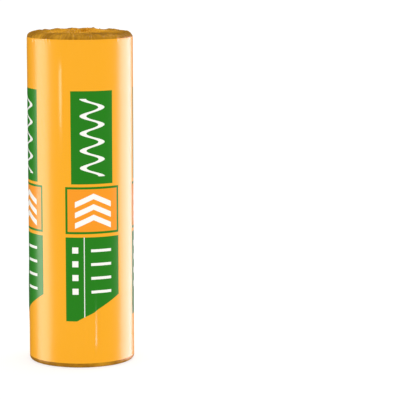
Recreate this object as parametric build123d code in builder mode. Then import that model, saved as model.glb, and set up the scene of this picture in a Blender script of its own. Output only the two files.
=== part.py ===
"""Roll of glass wool insulation in its film sleeve, standing on one end. Millimetres, +Z up.

The origin is the middle of the end that it stands on. The wool is one long strip wound up tight, and the
sleeve is printed polyethylene film drawn round it, with both ends pulled in over the wool in pleats.
"""

import os

from build123d import *

# The wool: a strip 50 thick and 10 m long, pressed to under a quarter of that as it is wound
strip_width = 1200.0
wool_diameter = 383.0
eye_diameter = 36.0
turn_thickness = 11.5

# Each turn swells past the seams beside it, and the middle turns sit back from the ends
turn_swell = 2.5
dish_diameter = 200.0
dish_depth = 12.0

# The sleeve, whose plies lie together at this wall, with a little slack round the wool
film_wall = 0.5
film_slack = 0.2
top_round = 22.0
foot_round = 14.0

# Both ends of the sleeve stop at an opening. The film gathered there is a hem, which stands up on the upper
# end, and is pressed up into the dish of the wool by the floor on the lower one.
opening_diameter = 110.0
hem_width = 12.0
hem_crest = 4.0
hem_height = 5.0

# The pleats of the upper end, which start as nothing by the rounded rim and grow on their way to the hem
pleat_count = 36
pleat_width = 9.0
pleat_height = 4.0
pleat_rim_gap = 2.0

# Worked out from the sizes above
film_gap = film_wall + film_slack
wool_radius = wool_diameter / 2
eye_radius = eye_diameter / 2
opening_radius = opening_diameter / 2
sleeve_radius = wool_radius + film_gap
wool_foot = film_gap
wool_top = wool_foot + strip_width
sleeve_top = wool_top + film_gap


def sink(radius):
    """How far the wool's end lies back at this radius: nothing outside the dish, and most at the axis."""
    share = min(1.0, 2 * radius / dish_diameter)
    return dish_depth * (1 - share**2)


def can_outline(radius, foot, top, work_corner, foot_corner, top_corner):
    """Half of a can's upright section, from its axis to its side, with its corners filleted or chamfered."""
    with BuildSketch() as half:
        with Locations((0, foot)):
            Rectangle(radius, top - foot, align=(Align.MIN, Align.MIN))
        work_corner(half.vertices().group_by(Axis.Y)[0].sort_by(Axis.X)[-1], foot_corner)
        work_corner(half.vertices().group_by(Axis.Y)[-1].sort_by(Axis.X)[-1], top_corner)
    return half.sketch


# The wool roll: turned about its eye, with a ridge for each turn on both ends. Its corners are pressed in.
wool_outline = can_outline(
    wool_radius,
    wool_foot,
    wool_top,
    chamfer,
    foot_round - film_gap,
    top_round - film_gap,
)
turns = int((wool_radius - eye_radius) // turn_thickness)
turn_pitch = (wool_radius - eye_radius) / turns

with BuildPart() as wool_roll:
    with BuildSketch(Plane.XZ):
        with BuildLine():
            edges = []
            for end, outward in ((wool_foot, -1), (wool_top, 1)):
                edge = [(eye_radius, end - outward * (sink(eye_radius) + turn_swell))]
                for turn in range(turns):
                    seam = eye_radius + (turn + 1) * turn_pitch
                    crest = seam - turn_pitch / 2
                    edge.append((crest, end - outward * sink(crest)))
                    edge.append((seam, end - outward * (sink(seam) + turn_swell)))
                Polyline(*edge)
                edges.append(edge)
            Line(edges[0][0], edges[1][0])
            Line(edges[0][-1], edges[1][-1])
        make_face()
        add(wool_outline, mode=Mode.INTERSECT)
    revolve(axis=Axis.Z)
wool_roll.part.label = "wool_roll"

# One pleat of the film: a fold that is widest and highest at the hem's crest, and fades out at the rim
pleat_foot = sleeve_top - film_wall / 2
with BuildSketch(Plane.YZ.offset(opening_radius + hem_crest)) as pleat_section:
    Polygon(
        (-pleat_width / 2, pleat_foot),
        (pleat_width / 2, pleat_foot),
        (0, sleeve_top + pleat_height),
        align=None,
    )
with BuildPart() as pleat:
    loft([pleat_section.sketch, Vertex(sleeve_radius - top_round - pleat_rim_gap, 0, pleat_foot)])

# The film sleeve: a thin can round the wool, whose ends are open in the middle. It spans the wool's corners.
sleeve_outline = can_outline(sleeve_radius, 0, sleeve_top, fillet, foot_round, top_round)
sleeve_inside = can_outline(
    sleeve_radius - film_wall,
    film_wall,
    sleeve_top - film_wall,
    chamfer,
    foot_round - film_wall,
    top_round - film_wall,
)

with BuildPart() as film_sleeve:
    with BuildSketch(Plane.XZ):
        add(sleeve_outline)
        add(sleeve_inside, mode=Mode.SUBTRACT)
        for base in (film_wall, sleeve_top):
            Polygon(
                (opening_radius, base),
                (opening_radius + hem_width, base),
                (opening_radius + hem_crest, base + hem_height),
                align=None,
            )
        Rectangle(opening_radius, sleeve_top, align=(Align.MIN, Align.MIN), mode=Mode.SUBTRACT)
    revolve(axis=Axis.Z)
    with PolarLocations(0, pleat_count):
        add(pleat.part)
film_sleeve.part.label = "film_sleeve"

os.makedirs("parts", exist_ok=True)
export_step(wool_roll.part, "parts/wool_roll.step")
export_step(film_sleeve.part, "parts/film_sleeve.step")
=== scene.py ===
"""Studio picture of a tall roll of glass wool insulation that stands on its end in a printed film sleeve.

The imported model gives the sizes. The wool and the film are surfaces over two parameters, worked out here in
metres, with +Z up the roll's axis and the camera on the -Y side.
"""

import math

import bpy
import numpy as np
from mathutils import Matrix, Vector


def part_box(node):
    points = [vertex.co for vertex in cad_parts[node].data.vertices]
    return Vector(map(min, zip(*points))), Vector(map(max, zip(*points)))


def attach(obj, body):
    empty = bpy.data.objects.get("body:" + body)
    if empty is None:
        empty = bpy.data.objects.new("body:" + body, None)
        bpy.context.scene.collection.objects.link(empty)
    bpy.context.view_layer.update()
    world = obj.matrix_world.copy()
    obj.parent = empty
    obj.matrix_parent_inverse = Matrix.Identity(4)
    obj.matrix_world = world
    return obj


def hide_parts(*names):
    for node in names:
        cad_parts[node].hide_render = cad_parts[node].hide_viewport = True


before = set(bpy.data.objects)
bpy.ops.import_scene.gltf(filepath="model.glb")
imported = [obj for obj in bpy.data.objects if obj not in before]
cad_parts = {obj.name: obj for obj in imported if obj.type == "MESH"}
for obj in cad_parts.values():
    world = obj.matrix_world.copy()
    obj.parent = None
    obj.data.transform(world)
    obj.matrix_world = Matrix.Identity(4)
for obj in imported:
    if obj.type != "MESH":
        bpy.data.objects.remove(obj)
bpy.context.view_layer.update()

# The glass wool: one strip of yellow glass fibre felt, 50 mm thick, that was pressed thin as it was wound up.
# The edge of each turn swells a little past the seams beside it, in a spiral round the eye.
MM = 0.001
wool_low, wool_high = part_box("wool_roll")
wool_radius = wool_high.x
wool_corner = 25 * MM
eye_radius = 18 * MM
turn_count = 15
turn_pitch = (wool_radius - eye_radius) / turn_count
turn_swell = 2.5 * MM
dish_radius = 100 * MM
dish_depth = 12 * MM
shown_radius = 72 * MM
worn_eye_width = 30 * MM
wool_columns = 288


def ripples(points, wavelength, seed, waves=24):
    """Smooth noise of unit size: a sum of plane waves of about one wavelength, in seeded directions."""
    random = np.random.default_rng(seed)
    directions = random.normal(size=(waves, 3))
    directions /= np.linalg.norm(directions, axis=1, keepdims=True)
    directions *= 2 * math.pi / (wavelength * random.uniform(0.7, 1.4, (waves, 1)))
    phases = random.uniform(0, 2 * math.pi, waves)
    total = np.zeros(points.shape[:-1])
    for direction, phase in zip(directions, phases):
        total += np.cos(points @ direction + phase)
    return total * math.sqrt(2 / waves)


def around(radius, angle, height):
    """Points from polar coordinates: the radius times the angle's cosine and sine, and the height."""
    corners = np.broadcast_arrays(radius * np.cos(angle), radius * np.sin(angle), height)
    return np.stack(corners, axis=-1)


def travelled(radius, height):
    """The distance along a profile from its first row to each row: a running sum of its steps."""
    steps = np.hypot(np.diff(radius[:, 0]), np.diff(height[:, 0]))
    return np.concatenate([[0], np.cumsum(steps)])


def grid_object(name, points, uv, closed=False):
    """A mesh of quads over a grid of points, whose rows and columns both close if asked. The grid of pattern
    places has one more row and column where they close, so that no quad spans a pattern's end."""
    rows, columns = points.shape[:2]
    quads_up, quads_round = (rows, columns) if closed else (rows - 1, columns - 1)
    row, column = np.meshgrid(np.arange(quads_up), np.arange(quads_round), indexing="ij")
    corners = [(row, column), (row + 1, column), (row + 1, column + 1), (row, column + 1)]
    quads = np.stack([(r % rows) * columns + c % columns for r, c in corners], axis=-1)
    places = np.stack([uv[r, c] for r, c in corners], axis=2)
    mesh = bpy.data.meshes.new(name)
    mesh.from_pydata(points.reshape(-1, 3), [], quads.reshape(-1, 4))
    layer = mesh.uv_layers.new(name="Surface")
    layer.uv.foreach_set("vector", places.astype(np.float32).ravel())
    mesh.shade_smooth()
    piece = bpy.data.objects.new(name, mesh)
    bpy.context.scene.collection.objects.link(piece)
    return piece


def give_attribute(piece, name, values):
    """Gives each point of a piece's grid a number, which its material reads by this name."""
    attribute = piece.data.attributes.new(name, "FLOAT", "POINT")
    attribute.data.foreach_set("value", values.astype(np.float32).ravel())


def linear(code):
    """An sRGB hex colour as linear RGBA, by the standard's two-part curve."""
    values = [int(code[i:i + 2], 16) / 255 for i in (1, 3, 5)]
    return [v / 12.92 if v <= 0.04045 else ((v + 0.055) / 1.055) ** 2.4 for v in values] + [1.0]


def add_node(tree, kind, inputs=None, out=0, **settings):
    """Adds a shader node with its settings, sets or links its inputs, and gives back one of its outputs."""
    new = tree.nodes.new("ShaderNode" + kind)
    for name, value in settings.items():
        setattr(new, name, value)
    for key, value in (inputs or {}).items():
        if isinstance(value, bpy.types.NodeSocket):
            tree.links.new(value, new.inputs[key])
        else:
            new.inputs[key].default_value = value
    return new.outputs[out] if new.outputs else None


def new_material(name):
    """An empty node material, and its tree."""
    material = bpy.data.materials.new(name)
    material.use_nodes = True
    material.node_tree.nodes.clear()
    return material, material.node_tree


def wool_profile():
    """Rows of the wool's surface as radius, height and the way its relief points, which is 1 on the upper
    end, -1 on the lower one and 0 elsewhere. They run up the eye, out over the upper end, down the side and
    in over the lower end, closer where the film is open. An end is a parabola inside the dish, and a corner
    is a quarter circle."""
    open_rows = np.linspace(eye_radius, shown_radius, 56)
    covered_rows = np.linspace(shown_radius, wool_radius - wool_corner, 26)[1:]
    end = np.concatenate([open_rows, covered_rows])
    sink = dish_depth * np.clip(1 - (end / dish_radius) ** 2, 0, None)
    turn = np.linspace(0, math.pi / 2, 6)[1:]
    corner_radius = wool_radius - wool_corner * (1 - np.sin(turn))
    corner_drop = wool_corner * (1 - np.cos(turn))
    bore = np.linspace(wool_low.z + sink[0], wool_high.z - sink[0], 26)[1:-1]
    side = np.linspace(wool_low.z + wool_corner, wool_high.z - wool_corner, 12)[1:-1]
    radius = np.concatenate([
        np.full(bore.size, eye_radius),
        end,
        corner_radius,
        np.full(side.size, wool_radius),
        corner_radius[::-1],
        end[::-1],
    ])
    height = np.concatenate([
        bore,
        wool_high.z - sink,
        wool_high.z - corner_drop,
        side[::-1],
        wool_low.z + corner_drop[::-1],
        (wool_low.z + sink)[::-1],
    ])
    outward = np.concatenate([
        np.zeros(bore.size),
        np.ones(end.size),
        np.zeros(2 * corner_radius.size + side.size),
        -np.ones(end.size),
    ])
    return radius[:, None], height[:, None], outward[:, None]


# The seams are valleys where the spiral has come round a whole turn, with rounded crests between them. Loose
# fluff breaks up both ends, and the eye is worn out of round.
radius, height, outward = wool_profile()
angle = np.linspace(0, 2 * math.pi, wool_columns, endpoint=False)[None, :]
turn_place = (radius - eye_radius) / turn_pitch - angle / (2 * math.pi)
seam_depth = turn_swell * (1 - np.abs(np.sin(math.pi * turn_place)) ** 0.6)
base = around(radius, angle, height)
fluff = 0.9 * MM * ripples(base, 22 * MM, seed=3) + 0.5 * MM * ripples(base, 7 * MM, seed=4)
fluff_depth = np.clip(1.2 * MM + fluff, 0, None)
worn = np.clip(1 - (radius - eye_radius) / worn_eye_width, 0, 1)
out_of_round = 1.6 * MM * np.cos(2 * angle + 0.7) + 0.8 * fluff
wool_points = around(radius + worn * out_of_round, angle, height - outward * (seam_depth + fluff_depth))

# The pattern's places: the angle, and the distance along the profile, which one more step closes in the eye
closing_step = 20 * MM
span = travelled(radius, height)
span = np.append(span, span[-1] + closing_step)[:, None]
felt_angle = np.linspace(0, 2 * math.pi, wool_columns + 1)[None, :]
felt_uv = np.stack(np.broadcast_arrays(felt_angle, span), axis=-1)
wool = grid_object("wound_glass_wool", wool_points, felt_uv, closed=True)
give_attribute(wool, "seam", np.abs(outward) * seam_depth / turn_swell)

# Glass wool felt: matt glass fibres in a cured yellow resin. To the eye it is a pale yellow floss in thin
# layers, with golden patches where the resin is rich and grey-white ones where it is lean. A single fibre is
# too fine to show, so they are drawn as tufts of 2.5 mm, in layers of 1.6 mm that run on for 3 to 12 mm.
felt, tree = new_material("glass_wool_felt")
place = add_node(tree, "TexCoord", out=3)
flock = add_node(tree, "TexNoise", {
    "Vector": place,
    "Scale": 1 / (28 * MM),
    "Detail": 5.0,
    "Roughness": 0.6,
})
shade = add_node(tree, "ValToRGB", {"Fac": flock})
ramp = shade.node.color_ramp
ramp.elements[0].position = 0.34
ramp.elements[0].color = linear("#F0E3AC")
ramp.elements[1].position = 0.7
ramp.elements[1].color = linear("#F6C947")
middle = ramp.elements.new(0.5)
middle.color = linear("#FAE08C")
along_layers = add_node(tree, "Mapping", {
    "Vector": add_node(tree, "UVMap", uv_map="Surface"),
    "Scale": (6.0, 1 / (1.6 * MM), 1.0),
})
layers = add_node(tree, "TexNoise", {
    "Vector": along_layers,
    "Scale": 1.0,
    "Detail": 6.0,
    "Roughness": 0.7,
})
fibres = add_node(tree, "TexNoise", {
    "Vector": place,
    "Scale": 1 / (2.5 * MM),
    "Detail": 4.0,
    "Roughness": 0.7,
})
relief = add_node(tree, "Math", {0: layers, 1: 1.2, 2: fibres}, operation="MULTIPLY_ADD")
# Painted shade: the felt is drawn darker, down to 0.72 of its colour, in the seams between turns and in the
# sunken layers, where shade would fall
seam = add_node(tree, "Attribute", attribute_name="seam", out=2)
shadow = add_node(tree, "Math", {0: seam, 1: -0.4, 2: layers}, operation="MULTIPLY_ADD")
shadow = add_node(tree, "MapRange", {
    "Value": shadow,
    "From Min": 0.1,
    "From Max": 0.55,
    "To Min": 0.72,
    "To Max": 1.0,
})
felt_colour_with_painted_shade = add_node(tree, "VectorMath", {0: shade, "Scale": shadow}, operation="SCALE")
bump = add_node(tree, "Bump", {"Height": relief, "Strength": 0.9, "Distance": 1.0 * MM})
surface = add_node(tree, "BsdfPrincipled", {
    "Base Color": felt_colour_with_painted_shade,
    "Roughness": 0.95,
    "IOR": 1.45,
    "Specular IOR Level": 0.2,
    "Sheen Weight": 0.25,
    "Sheen Roughness": 0.6,
    "Normal": bump,
})
add_node(tree, "OutputMaterial", {"Surface": surface})
wool.data.materials.append(felt)
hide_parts("wool_roll")
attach(wool, "root")

# The film sleeve: a tube of polyethylene film, wrapped round the wool and welded along one lap. It is longer
# than the wool, and its spare film at each end is drawn in over the wool in pleats, round an opening.
film_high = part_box("film_sleeve")[1]
film_radius = film_high.x
hem_height = 5 * MM
film_top = film_high.z - hem_height
top_round = 22 * MM
foot_round = 14 * MM
opening_radius = 55 * MM
hem_bulge = 6 * MM
hem_slope = 18 * MM
throat_depth = 9 * MM
close_rows_top = 110 * MM
close_rows_foot = 92 * MM
front_angle = math.radians(270)
lap_angle = math.radians(58)
lap_width = 40 * MM
lap_step = 0.8 * MM
lap_step_turn = 0.15
free_edge_turn = 0.05
free_edge_lift = 1.2 * MM
pleat_count = 44
pleat_height = 5.5 * MM
rim_pleat_count = 74
rim_pleat_height = 1.6 * MM
rim_pleat_inset = 16 * MM
rim_pleat_reach = 34 * MM
print_low = 17.4 * MM
print_high = film_top - 15 * MM
film_columns = 700


def smooth_step(values, start, stop):
    """0 before start and 1 after stop, with a level ease at both: 3t squared less 2t cubed."""
    share = np.clip((values - start) / (stop - start), 0, 1)
    return share * share * (3 - 2 * share)


def film_profile():
    """Rows of the film at rest as radius and height, from the upper opening to the lower one. They run up
    the throat as a quarter ellipse, down the hem's slope as a half cosine, out, round the rim as a quarter
    circle, down the side, and the same below, where the floor presses the hem up into the dish. The side's
    rows lie closer near its ends."""
    throat_turn = np.linspace(0, math.pi / 2, 7)
    slope = np.linspace(0, 1, 8)[1:]
    hem_radius = np.concatenate([
        opening_radius + hem_bulge * (1 - np.cos(throat_turn)),
        opening_radius + hem_bulge + hem_slope * slope,
    ])
    hem_rise = np.concatenate([
        (throat_depth + hem_height) * np.sin(throat_turn) - throat_depth,
        hem_height * (1 + np.cos(math.pi * slope)) / 2,
    ])
    top_disc = np.linspace(hem_radius[-1], film_radius - top_round, 36)[1:]
    foot_disc = np.linspace(film_radius - foot_round, hem_radius[-1], 12)[1:-1]
    top_turn = np.linspace(0, math.pi / 2, 16)[1:]
    foot_turn = np.linspace(0, math.pi / 2, 9)
    upper_side = film_top - top_round - close_rows_top * np.linspace(0, 1, 11)[1:] ** 1.5
    lower_side = foot_round + close_rows_foot * np.linspace(1, 0, 10)[:-1] ** 1.5
    middle_side = np.linspace(upper_side[-1], lower_side[0], 12)[1:-1]
    side = np.concatenate([upper_side, middle_side, lower_side])
    radius = np.concatenate([
        hem_radius,
        top_disc,
        film_radius - top_round * (1 - np.sin(top_turn)),
        np.full(side.size, film_radius),
        film_radius - foot_round * (1 - np.cos(foot_turn)),
        foot_disc,
        hem_radius[::-1],
    ])
    height = np.concatenate([
        film_top + hem_rise,
        np.full(top_disc.size, film_top),
        film_top - top_round * (1 - np.cos(top_turn)),
        side,
        foot_round * (1 - np.sin(foot_turn)),
        np.zeros(foot_disc.size),
        np.abs(hem_rise)[::-1],
    ])
    return radius[:, None], height[:, None]


def pleat_folds(angle, share_out, starts, seed, count):
    """Height of pleats from 0 to 1, where share_out is 0 at the pleats' roots and 1 at their far ends. Each
    is a ridge between two seeded angles, whose flanks fall nearly straight from its crest. It starts between
    the two starts as a narrow crease, and gets wider and higher on its way to its root."""
    random = np.random.default_rng(seed)
    edges = np.concatenate([[0], np.cumsum(random.uniform(0.55, 1.45, count))])
    edges *= 2 * math.pi / edges[-1]
    crest = random.uniform(0.2, 0.85, count)
    size = random.uniform(0.45, 1.0, count)
    start = random.uniform(*starts, count)
    turned = angle % (2 * math.pi)
    which = np.clip(np.searchsorted(edges, turned, side="right") - 1, 0, count - 1)
    across = (turned - edges[which]) / (edges[which + 1] - edges[which]) - crest[which]
    from_crest = np.where(across < 0, -across / crest[which], across / (1 - crest[which]))
    growth = np.clip(1 - share_out / start[which], 0, 1)
    ridge = np.clip(1 - from_crest / (0.25 + 0.75 * growth), 0, None)
    return size[which] * ridge**1.1 * growth**0.6


radius, height = film_profile()
lap = np.linspace(0, 2 * math.pi + lap_width / film_radius, film_columns)[None, :]
angle = lap_angle + lap
base = around(radius, angle, height)
along_radius = np.gradient(radius[:, 0])[:, None]
along_height = np.gradient(height[:, 0])[:, None]
length = np.hypot(along_radius, along_height)
out_radius, out_height = -along_height / length, along_radius / length

from_top = travelled(radius, height)[:, None]
from_foot = from_top[-1] - from_top
rim_row = int(np.argmax(radius[:, 0] > film_radius - 0.001 * MM))
end_length = float(from_top[rim_row, 0])

# The upper end: the pleats wander a little and turn with the hand that gathered them. The film between them
# lies in soft lumps, and short pleats cross the rim, mostly at the front on the left.
swirl = 0.2 * smooth_step(-from_top, -end_length, 0) + 0.045 * ripples(base, 60 * MM, seed=11)
top_folds = pleat_folds(angle + swirl, from_top / end_length, (0.55, 1.1), seed=21, count=pleat_count)
from_rim = np.abs(from_top - end_length + rim_pleat_inset) / rim_pleat_reach
rim_folds = pleat_folds(angle + 0.5 * swirl, from_rim, (0.25, 1.0), seed=23, count=rim_pleat_count)
front_left = np.cos(angle - front_angle + math.radians(30))
rim_folds *= 0.35 + 0.65 * smooth_step(front_left, 0.4, 0.9)
on_top = 1 - smooth_step(from_top, end_length - 30 * MM, end_length + 5 * MM)
lumps = 1.7 * MM * (1 + ripples(base, 60 * MM, seed=12))
lumps += 1.3 * MM * (0.8 - np.abs(ripples(base, 38 * MM, seed=13)))
top_lift = pleat_height * top_folds + rim_pleat_height * rim_folds + on_top * lumps
top_lift = np.maximum(top_lift, 0)

# The lower end: the floor presses the pleats flat, so the film between them goes up towards the dish
foot_folds = pleat_folds(angle - swirl, from_foot / end_length, (0.55, 1.0), seed=22, count=pleat_count)
on_foot = 1 - smooth_step(from_foot, end_length - 40 * MM, end_length - 20 * MM)
foot_sink = dish_depth * np.clip(1 - (radius / dish_radius) ** 2, 0, None)
foot_lift = -(0.5 * MM + 0.4 * foot_sink) * on_foot * (1 - foot_folds)

# The side is drawn tight, and shows only a few upright creases: each by its angle from the front in degrees,
# the height of its middle, half its length, its half width and its rise. A crease is a bell curve across,
# steeper on the side away from the front.
creases = (
    (-18, 975 * MM, 190 * MM, 13 * MM, 7.0 * MM),
    (12.5, 165 * MM, 148 * MM, 11 * MM, 10.6 * MM),
    (128, 420 * MM, 230 * MM, 8 * MM, 3.0 * MM),
    (-142, 760 * MM, 210 * MM, 9 * MM, 3.4 * MM),
    (-96, 250 * MM, 150 * MM, 8 * MM, 3.0 * MM),
)
upright_stretch = (1, 1, 0.35)
on_side = smooth_step(from_top, end_length, end_length + 60 * MM)
on_side = on_side * smooth_step(from_foot, end_length - 20 * MM, end_length + 40 * MM)
side_lift = 0.12 * MM * on_side * (1 + ripples(base * upright_stretch, 120 * MM, seed=31))
for turn, middle, half, width, rise in creases:
    off = (angle - front_angle - math.radians(turn) + math.pi) % (2 * math.pi) - math.pi
    spread = np.where(off * turn > 0, width, 2.2 * width)
    ridge = np.exp(-((off * film_radius / spread) ** 2))
    side_lift = side_lift + rise * ridge * (1 - smooth_step(np.abs(height - middle), 0.4 * half, half))

# The lap: the film steps up over its own first edge, and its last edge stands off a little, unevenly
lap_end = lap[0, -1]
lap_lift = lap_step * smooth_step(lap, 2 * math.pi - lap_step_turn, 2 * math.pi)
free_edge = smooth_step(lap, lap_end - free_edge_turn, lap_end)
free_edge = free_edge * (1.0 + 0.6 * ripples(base, 90 * MM, seed=32))
lift = top_lift + foot_lift + side_lift + lap_lift + free_edge_lift * free_edge
above_floor = np.clip(height + out_height * lift, 0.0, None)
film_points = around(radius + out_radius * lift, angle, above_floor)

# The print's places: the distance round from the first edge, and the height up the side, both along the film
up_place = height[rim_row, 0] + end_length - from_top
print_uv = np.stack(np.broadcast_arrays(lap * film_radius, up_place), axis=-1)
film = grid_object("printed_film_sleeve", film_points, print_uv)
gathered = 1 - smooth_step(radius, 0.4 * film_radius, 0.9 * film_radius)
# The fold height also colours the amber film, with a painted highlight on the crests and painted shade
# between them, which gives painted glints on the short rim pleats at the front on the left
give_attribute(film, "fold", top_folds + foot_folds + 0.9 * rim_folds)
give_attribute(film, "gather", np.broadcast_to(gathered, lift.shape))

# Printed polyethylene film: a blown film of about 0.1 mm, flexo printed in orange, with green and deep orange
# panels that come round four times. It is smooth and glossy, so lamps draw long upright highlights down it.
printed, tree = new_material("printed_polyethylene_film")
surface_place = add_node(tree, "UVMap", uv_map="Surface")
from_lap = add_node(tree, "SeparateXYZ", {0: surface_place})
up = from_lap.node.outputs[1]
round_length = 2 * math.pi * film_radius
front_panel = 654 * MM

# The place across each set of panels: the distance from its left edge, which the front one has at 654 mm
across = add_node(tree, "Math", {0: from_lap, 1: front_panel}, operation="SUBTRACT")
across = add_node(tree, "Math", {0: across, 1: round_length / 4}, operation="FLOORED_MODULO")


def printed_over(under, code, *limits):
    """The print with one more ink on it, of this hex colour, where each value lies between its two limits. A
    value is a place on the film, and its limits are in millimetres."""
    inside = None
    for value, low, high in limits:
        middle, half = (low + high) / 2 * MM, (high - low) / 2 * MM
        mask = add_node(tree, "Math", {0: value, 1: middle, 2: half}, operation="COMPARE")
        if inside is not None:
            mask = add_node(tree, "Math", {0: inside, 1: mask}, operation="MULTIPLY")
        inside = mask
    return add_node(tree, "Mix", {0: inside, 6: under, 7: linear(code)}, out=2, data_type="RGBA")


orange = "#FFAF00"
deep_orange = "#FF9C00"
green = "#1C8604"
white = "#FDFCF5"

# The upper panel: a white wave on green, which is a band of the place across less a sine of the height
wavelength = 62 * MM
wave_height = 34 * MM
colour = printed_over(linear(orange), green, (across, 22, 178), (up, 670, 1004))
wave = add_node(tree, "Math", {0: up, 1: 2 * math.pi / wavelength}, operation="MULTIPLY")
wave = add_node(tree, "Math", {0: wave}, operation="SINE")
wave = add_node(tree, "Math", {0: wave, 1: -wave_height, 2: across}, operation="MULTIPLY_ADD")
colour = printed_over(colour, white, (wave, 88, 112), (up, 697.5, 976.5))

# The middle panel: three white roof lines on deep orange in a green border. They are bands of the height
# plus a share of the distance from the panel's middle.
panel_middle = 102.5 * MM
roof_pitch = 0.45
colour = printed_over(colour, green, (across, 0, 205), (up, 490, 660))
colour = printed_over(colour, deep_orange, (across, 8, 197), (up, 498, 652))
roof = add_node(tree, "Math", {0: across, 1: panel_middle}, operation="SUBTRACT")
roof = add_node(tree, "Math", {0: roof}, operation="ABSOLUTE")
roof = add_node(tree, "Math", {0: roof, 1: roof_pitch, 2: up}, operation="MULTIPLY_ADD")
for low in (540, 578, 616):
    colour = printed_over(colour, white, (across, 35, 170), (roof, low, low + 20))

# The lower panel: a thin white line, squares and bars on green, above a slanted edge
edge_slant = 0.55
slant = add_node(tree, "Math", {0: across, 1: -edge_slant, 2: up}, operation="MULTIPLY_ADD")
colour = printed_over(colour, green, (across, 0, 205), (up, 172, 478), (slant, 150, 620))
colour = printed_over(colour, white, (across, 66, 69), (up, 172, 478), (slant, 150, 620))
for low in (270, 320, 370, 420):
    colour = printed_over(colour, white, (across, 24, 46), (up, low, low + 22))
    colour = printed_over(colour, white, (across, 92, 170), (up, low + 4, low + 14))

# The lap is a little darker, where the film lies double, and darker still in the ribbed band of the weld
weld_middle = 26 * MM
weld_half = 5 * MM
rib_pitch = 4 * MM
weld_limits = {0: from_lap, 1: round_length + weld_middle, 2: weld_half}
weld = add_node(tree, "Math", weld_limits, operation="COMPARE")
doubled = add_node(tree, "Math", {0: from_lap, 1: round_length}, operation="GREATER_THAN")
darker = add_node(tree, "Math", {0: weld, 1: 1.2, 2: doubled}, operation="MULTIPLY_ADD")
darker = add_node(tree, "Math", {0: darker, 1: -0.07, 2: 1.0}, operation="MULTIPLY_ADD")
colour = add_node(tree, "VectorMath", {0: colour, "Scale": darker}, operation="SCALE")
ribs = add_node(tree, "TexWave", {
    "Vector": surface_place,
    "Scale": math.pi / (10 * rib_pitch),
}, out=1, bands_direction="Y")
ribs = add_node(tree, "Math", {0: ribs, 1: weld}, operation="MULTIPLY")
# The gloss is a little uneven, in soft patches of 45 mm
haze = add_node(tree, "TexNoise", {
    "Vector": add_node(tree, "TexCoord", out=3),
    "Scale": 1 / (45 * MM),
    "Detail": 3.0,
})
relief = add_node(tree, "Math", {0: haze, 1: 0.25, 2: ribs}, operation="MULTIPLY_ADD")
bump = add_node(tree, "Bump", {"Height": relief, "Strength": 0.15, "Distance": 1.0 * MM})
gloss = add_node(tree, "MapRange", {"Value": haze, "To Min": 0.27, "To Max": 0.33})
surface = add_node(tree, "BsdfPrincipled", {
    "Base Color": colour,
    "Roughness": gloss,
    "IOR": 1.51,
    "Normal": bump,
})
add_node(tree, "OutputMaterial", {"Surface": surface})

# Unprinted polyethylene film: the same film past the printed field, an amber brown over the wool. Its folds
# are lighter on their crests, partly for the two plies that lie together there and partly as a painted
# highlight, and darker in the valleys where they touch the wool, as painted shade. It is also drawn lighter
# towards the middle of each end. It is limp and crumpled there, in facets of some 24 mm, so its gloss is
# broken up.
amber, tree = new_material("amber_polyethylene_film")
place = add_node(tree, "TexCoord", out=3)
fold = add_node(tree, "Attribute", attribute_name="fold", out=2)
gather = add_node(tree, "Attribute", attribute_name="gather", out=2)
mottle_and_painted_fold_light = add_node(tree, "TexNoise", {
    "Vector": place,
    "Scale": 1 / (70 * MM),
    "Detail": 4.0,
    "Roughness": 0.55,
})
mottle_and_painted_fold_light = add_node(tree, "Math", {0: mottle_and_painted_fold_light, 1: 1.4, 2: -0.2}, operation="MULTIPLY_ADD")
# Painted highlight and shade: the folds' height makes their crests lighter and the valleys between them
# darker
mottle_and_painted_fold_light = add_node(tree, "Math", {0: fold, 1: 0.35, 2: mottle_and_painted_fold_light}, operation="MULTIPLY_ADD")
mottle_and_painted_fold_light = add_node(tree, "Math", {0: gather, 1: 0.3, 2: mottle_and_painted_fold_light}, operation="MULTIPLY_ADD")
shade = add_node(tree, "ValToRGB", {"Fac": mottle_and_painted_fold_light})
ramp = shade.node.color_ramp
ramp.elements[0].position = 0.4
ramp.elements[0].color = linear("#A06C08")
ramp.elements[1].position = 1.1
ramp.elements[1].color = linear("#E0A01E")
bent = add_node(tree, "TexNoise", {"Vector": place, "Scale": 1 / (18 * MM), "Detail": 2.0}, out=1)
bent = add_node(tree, "VectorMath", {0: bent, "Scale": 14 * MM}, operation="SCALE")
bent = add_node(tree, "VectorMath", {0: place, 1: bent}, operation="ADD")
facets = add_node(tree, "TexVoronoi", {"Vector": bent, "Scale": 1 / (24 * MM)})
relief = add_node(tree, "Math", {0: fold, 1: 0.8, 2: facets}, operation="MULTIPLY_ADD")
bump = add_node(tree, "Bump", {"Height": relief, "Strength": 1.0, "Distance": 1.6 * MM})
surface = add_node(tree, "BsdfPrincipled", {
    "Base Color": shade,
    "Roughness": 0.38,
    "IOR": 1.51,
    "Specular IOR Level": 0.12,
    "Normal": bump,
})
add_node(tree, "OutputMaterial", {"Surface": surface})

# The quads below and above the printed field show the unprinted film
film.data.materials.append(printed)
film.data.materials.append(amber)
quad_height = (height[1:, 0] + height[:-1, 0]) / 2
unprinted = (quad_height < print_low) | (quad_height > print_high)
quad_material = np.repeat(unprinted.astype(np.int32), film_columns - 1)
film.data.polygons.foreach_set("material_index", quad_material)
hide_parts("film_sleeve")
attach(film, "root")

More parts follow.
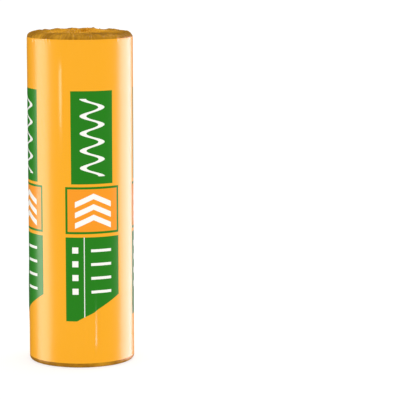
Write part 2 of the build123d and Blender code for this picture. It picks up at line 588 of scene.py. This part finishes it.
# The room: a white studio floor that runs out of view, and a white surround, which both look white to the
# camera. The floor's paint glows at part of white and reflects the rest, so it keeps the roll's soft shadow.
floor_radius = 30.0
floor_glow = 0.66
floor_corners = 64
corner_angle = np.linspace(0, 2 * math.pi, floor_corners, endpoint=False)
floor_mesh = bpy.data.meshes.new("studio_floor")
floor_mesh.from_pydata(around(floor_radius, corner_angle, 0.0), [], [list(range(floor_corners))])
floor = bpy.data.objects.new("studio_floor", floor_mesh)
bpy.context.scene.collection.objects.link(floor)
paint, tree = new_material("matt_white_floor_paint")
glow = add_node(tree, "Emission", {"Color": linear("#FFFFFF"), "Strength": floor_glow})
matt = add_node(tree, "BsdfDiffuse", {"Color": linear("#A8A8A8")})
add_node(tree, "OutputMaterial", {"Surface": add_node(tree, "AddShader", {0: glow, 1: matt})})
floor_mesh.materials.append(paint)
floor.visible_glossy = False
floor.visible_shadow = False

# The surround lights the roll evenly, and is nearly dark in its gloss, so that the lamps draw the highlights
surround_light = 1.04
surround_in_gloss = 0.04
world = bpy.data.worlds.new("studio_surround")
bpy.context.scene.world = world
world.use_nodes = True
tree = world.node_tree
tree.nodes.clear()
seen = add_node(tree, "LightPath")
shiny = seen.node.outputs["Is Glossy Ray"]
unseen = add_node(tree, "Mix", {0: shiny, 2: surround_light, 3: surround_in_gloss}, data_type="FLOAT")
strength = add_node(tree, "Mix", {0: seen, 2: unseen, 3: 1.0}, data_type="FLOAT")
background = add_node(tree, "Background", {"Color": linear("#FFFFFF"), "Strength": strength})
add_node(tree, "OutputWorld", {"Surface": background})

# The lamps: a tall soft box near each side of the roll draws a long highlight down its film. Both reach below
# the floor, which doesn't stop them, so that the highlights reach the foot. A rim light in front, high on the
# left, picks out the crests of the pleats. These three show only in gloss. The high key behind the roll on
# the right lights it too, and gives the pleats their shadows.
soft_boxes = (
    # name, degrees from the camera's side, distance, height, width, length, radiance, tint, lights all
    ("left_strip", -84, 0.89, 0.49, 0.56, 1.73, 4.3, (1.0, 0.95, 0.95), False),
    ("right_strip", 109, 0.86, 0.49, 0.76, 1.73, 6.0, (1.0, 0.7, 0.97), False),
    ("rim_light", -30, 1.6, 4.2, 0.9, 0.9, 6.0, (1.0, 1.0, 1.0), False),
    ("high_key", 128, 2.6, 3.6, 1.6, 1.6, 2.5, (1.0, 1.0, 1.0), True),
)
aim_height = 1.0
for name, degrees, away, lamp_height, width, tall, radiance, tint, lights_all in soft_boxes:
    turn = math.radians(degrees)
    lamp = bpy.data.lights.new(name, "AREA")
    lamp.shape = "RECTANGLE"
    lamp.size = width
    lamp.size_y = tall
    lamp.energy = radiance * math.pi * width * tall
    lamp.color = tint
    holder = bpy.data.objects.new(name, lamp)
    bpy.context.scene.collection.objects.link(holder)
    holder.location = (away * math.sin(turn), -away * math.cos(turn), lamp_height)
    tilt = math.atan2(away, max(lamp_height - aim_height, 0))
    holder.rotation_euler = (tilt, 0, turn)
    holder.visible_camera = False
    holder.visible_diffuse = lights_all

# The camera: far off with a long lens, a little above the roll and looking down on it, with the roll left of
# the middle of the picture. It was fitted to the roll's outline.
look_down = 0.1411
look_right = 0.0536
camera = bpy.data.cameras.new("camera")
camera.sensor_width = 36
camera.lens = 201.6
camera.clip_end = 100
viewer = bpy.data.objects.new("camera", camera)
bpy.context.scene.collection.objects.link(viewer)
viewer.location = (0, -8.13, 1.74)
viewer.rotation_euler = (math.pi / 2 - look_down, 0, -look_right)
bpy.context.scene.camera = viewer
bpy.context.scene.view_settings.view_transform = "Standard"
